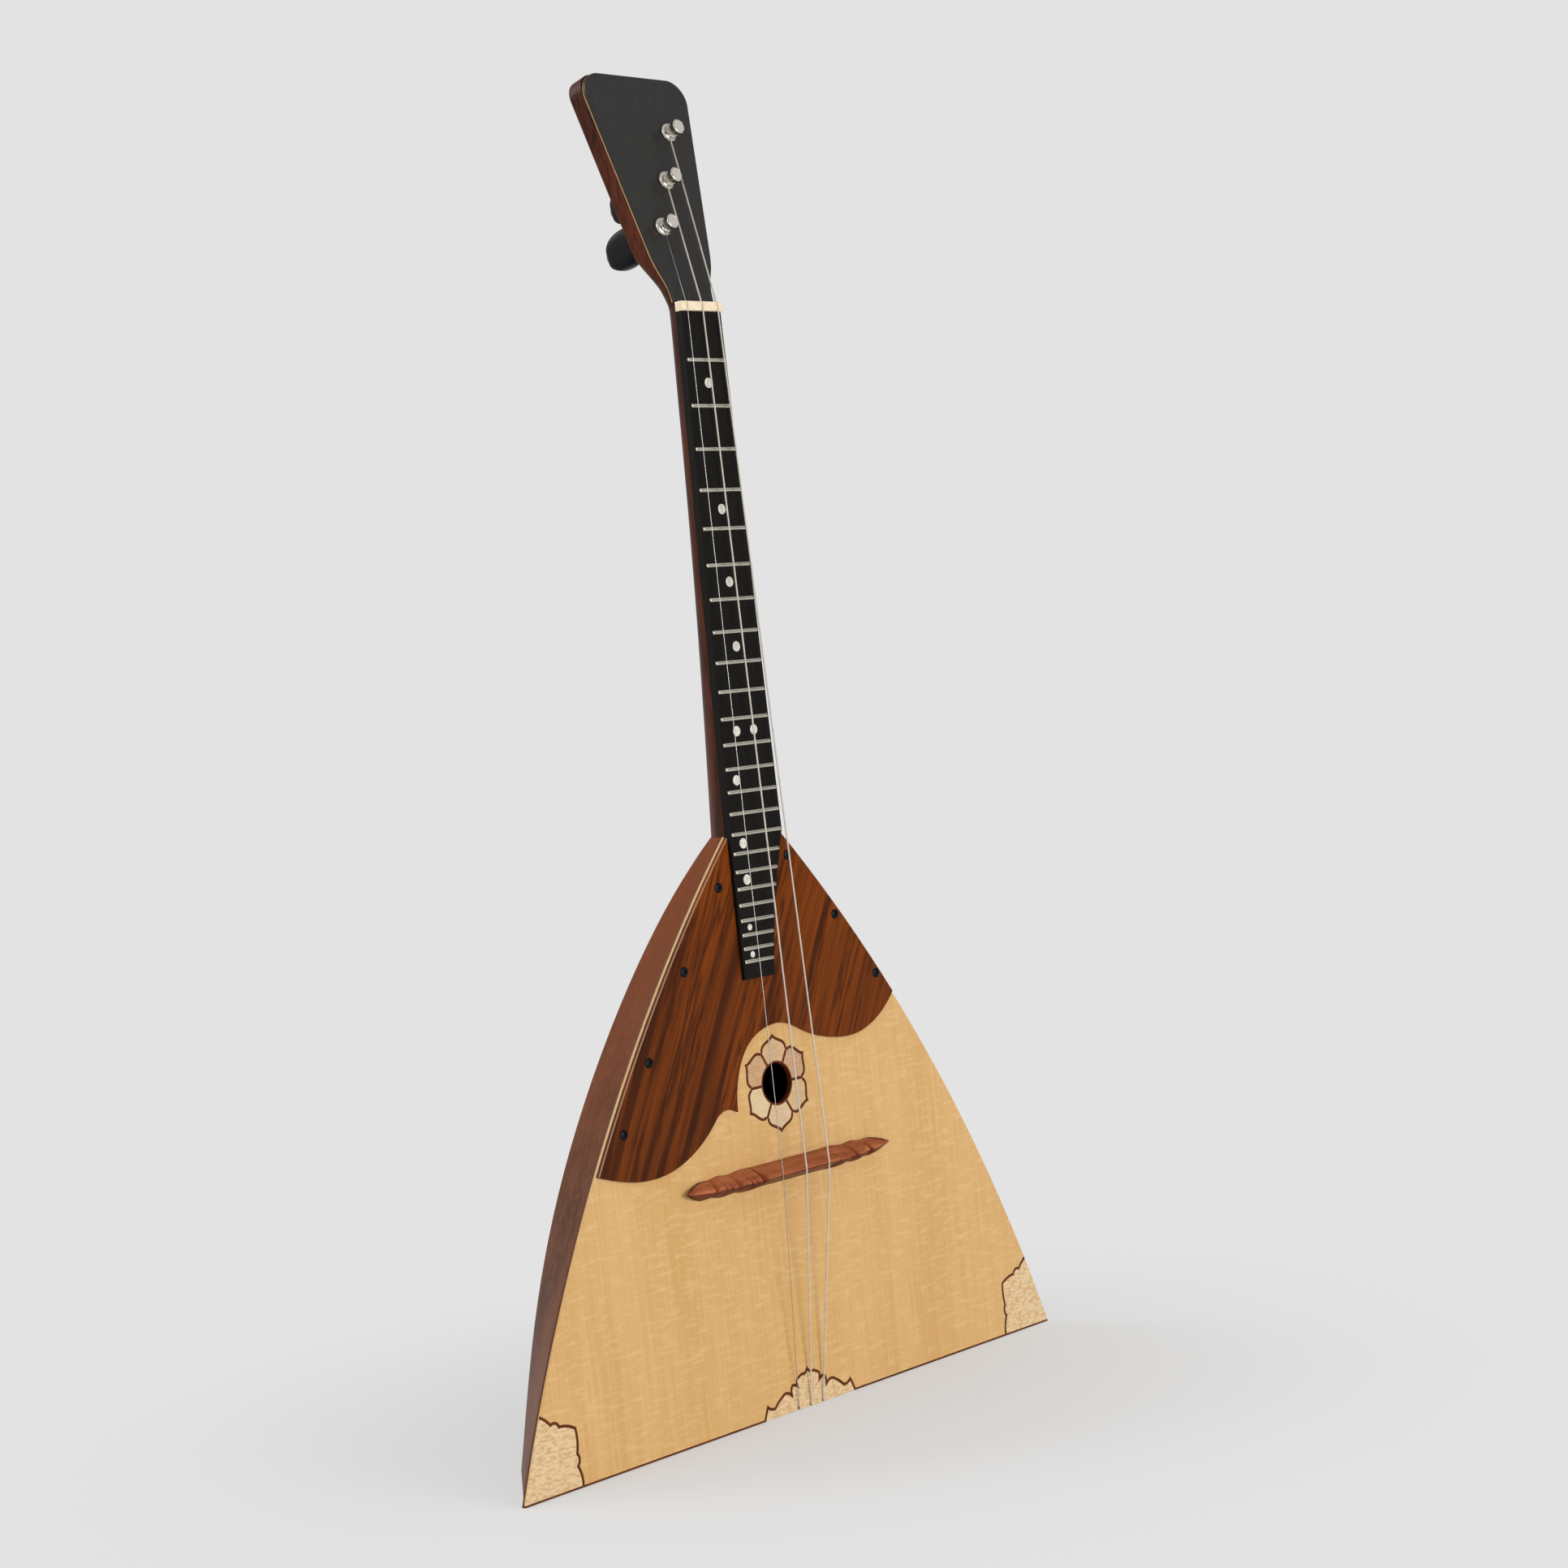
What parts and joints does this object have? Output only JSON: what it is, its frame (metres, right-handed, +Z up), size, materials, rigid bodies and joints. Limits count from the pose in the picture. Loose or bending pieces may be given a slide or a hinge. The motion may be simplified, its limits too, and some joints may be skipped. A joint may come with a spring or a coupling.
{
  "type": "balalaika",
  "caption": "Triangular staved-back lute with a flat spruce front, fretted neck, tilted head with turning pegs, floating bridge and taut strings.",
  "frame": {"origin": "on the flat outer face of the bottom panel, on the centre plane, 40 mm behind the face of the soundboard", "axes": "+Z up the neck from the bottom panel to the head, -Y out of the soundboard towards the strings, +X to the right seen from the front"},
  "size_m": [0.39, 0.1049, 0.6794],
  "materials": {
    "spruce": "thin satin varnish",
    "brace_spruce": "bare planed",
    "stave_walnut": "satin varnish",
    "neck_mahogany": "satin varnish",
    "guard_rosewood": "gloss varnish",
    "pale_inlay": "thin satin varnish",
    "dark_inlay_line": "thin satin varnish",
    "maple_veneer": "thin satin varnish",
    "black_head_plate": "matt black stain",
    "black_fingerboard": "oiled",
    "bridge_wood": "oiled",
    "nickel_silver_fret": "polished",
    "pearl_dot": "polished",
    "bone_nut": "polished bone",
    "steel_string": "bright",
    "nylon_string": "clear pale",
    "nickel_peg": "bright nickel plate",
    "black_peg_button": "moulded",
    "black_screw": "black oxide",
    "black_washer": "moulded"
  },
  "bodies": {
    "instrument": {"rib_1": "stave_walnut", "rib_2": "stave_walnut", "rib_3": "stave_walnut", "rib_4": "stave_walnut", "rib_5": "stave_walnut", "rib_6": "stave_walnut", "rib_7": "stave_walnut", "bottom_panel": "stave_walnut", "tail_block": "brace_spruce", "neck_block": "brace_spruce", "lining_left": "brace_spruce", "lining_right": "brace_spruce", "lining_bottom": "brace_spruce", "corner_block_left": "brace_spruce", "corner_block_right": "brace_spruce", "brace_upper": "brace_spruce", "brace_middle": "brace_spruce", "brace_lower": "brace_spruce", "soundboard": "spruce", "corner_inlay_left": "pale_inlay", "corner_inlay_right": "pale_inlay", "tail_inlay": "pale_inlay", "rosette_petals": "pale_inlay", "corner_border_left": "dark_inlay_line", "corner_border_right": "dark_inlay_line", "tail_border": "dark_inlay_line", "rosette_outline": "dark_inlay_line", "soundhole_ring": "dark_inlay_line", "edge_strip": "dark_inlay_line", "pickguard": "guard_rosewood", "pickguard_screws": "black_screw", "neck": "neck_mahogany", "head_veneer": "maple_veneer", "head_plate": "black_head_plate", "fingerboard": "black_fingerboard", "frets": "nickel_silver_fret", "fret_markers": "pearl_dot", "nut": "bone_nut", "bridge": "bridge_wood", "string_1": "steel_string", "string_2": "nylon_string", "string_3": "nylon_string", "string_pins": "nickel_peg", "peg_bushings": "nickel_peg", "peg_collars": "nickel_peg", "peg_washers": "black_washer"},
    "peg_1": {"peg_post_1": "nickel_peg", "peg_button_1": "black_peg_button", "peg_screw_1": "nickel_peg", "string_winding_1": "steel_string"},
    "peg_2": {"peg_post_2": "nickel_peg", "peg_button_2": "black_peg_button", "peg_screw_2": "nickel_peg", "string_winding_2": "nylon_string"},
    "peg_3": {"peg_post_3": "nickel_peg", "peg_button_3": "black_peg_button", "peg_screw_3": "nickel_peg", "string_winding_3": "nylon_string"}
  },
  "joints": [
    {"name": "peg_1_turn", "type": "hinge", "parent": "instrument", "child": "peg_1", "pos_m": [-0.0087, -0.0315, 0.59898], "axis": [0, -0.9744, 0.225], "continuous": true},
    {"name": "peg_2_turn", "type": "hinge", "parent": "instrument", "child": "peg_2", "pos_m": [0.0032, -0.02572, 0.62402], "axis": [0, -0.9744, 0.225], "continuous": true},
    {"name": "peg_3_turn", "type": "hinge", "parent": "instrument", "child": "peg_3", "pos_m": [0.0148, -0.01967, 0.65023], "axis": [0, -0.9744, 0.225], "continuous": true}
  ]
}
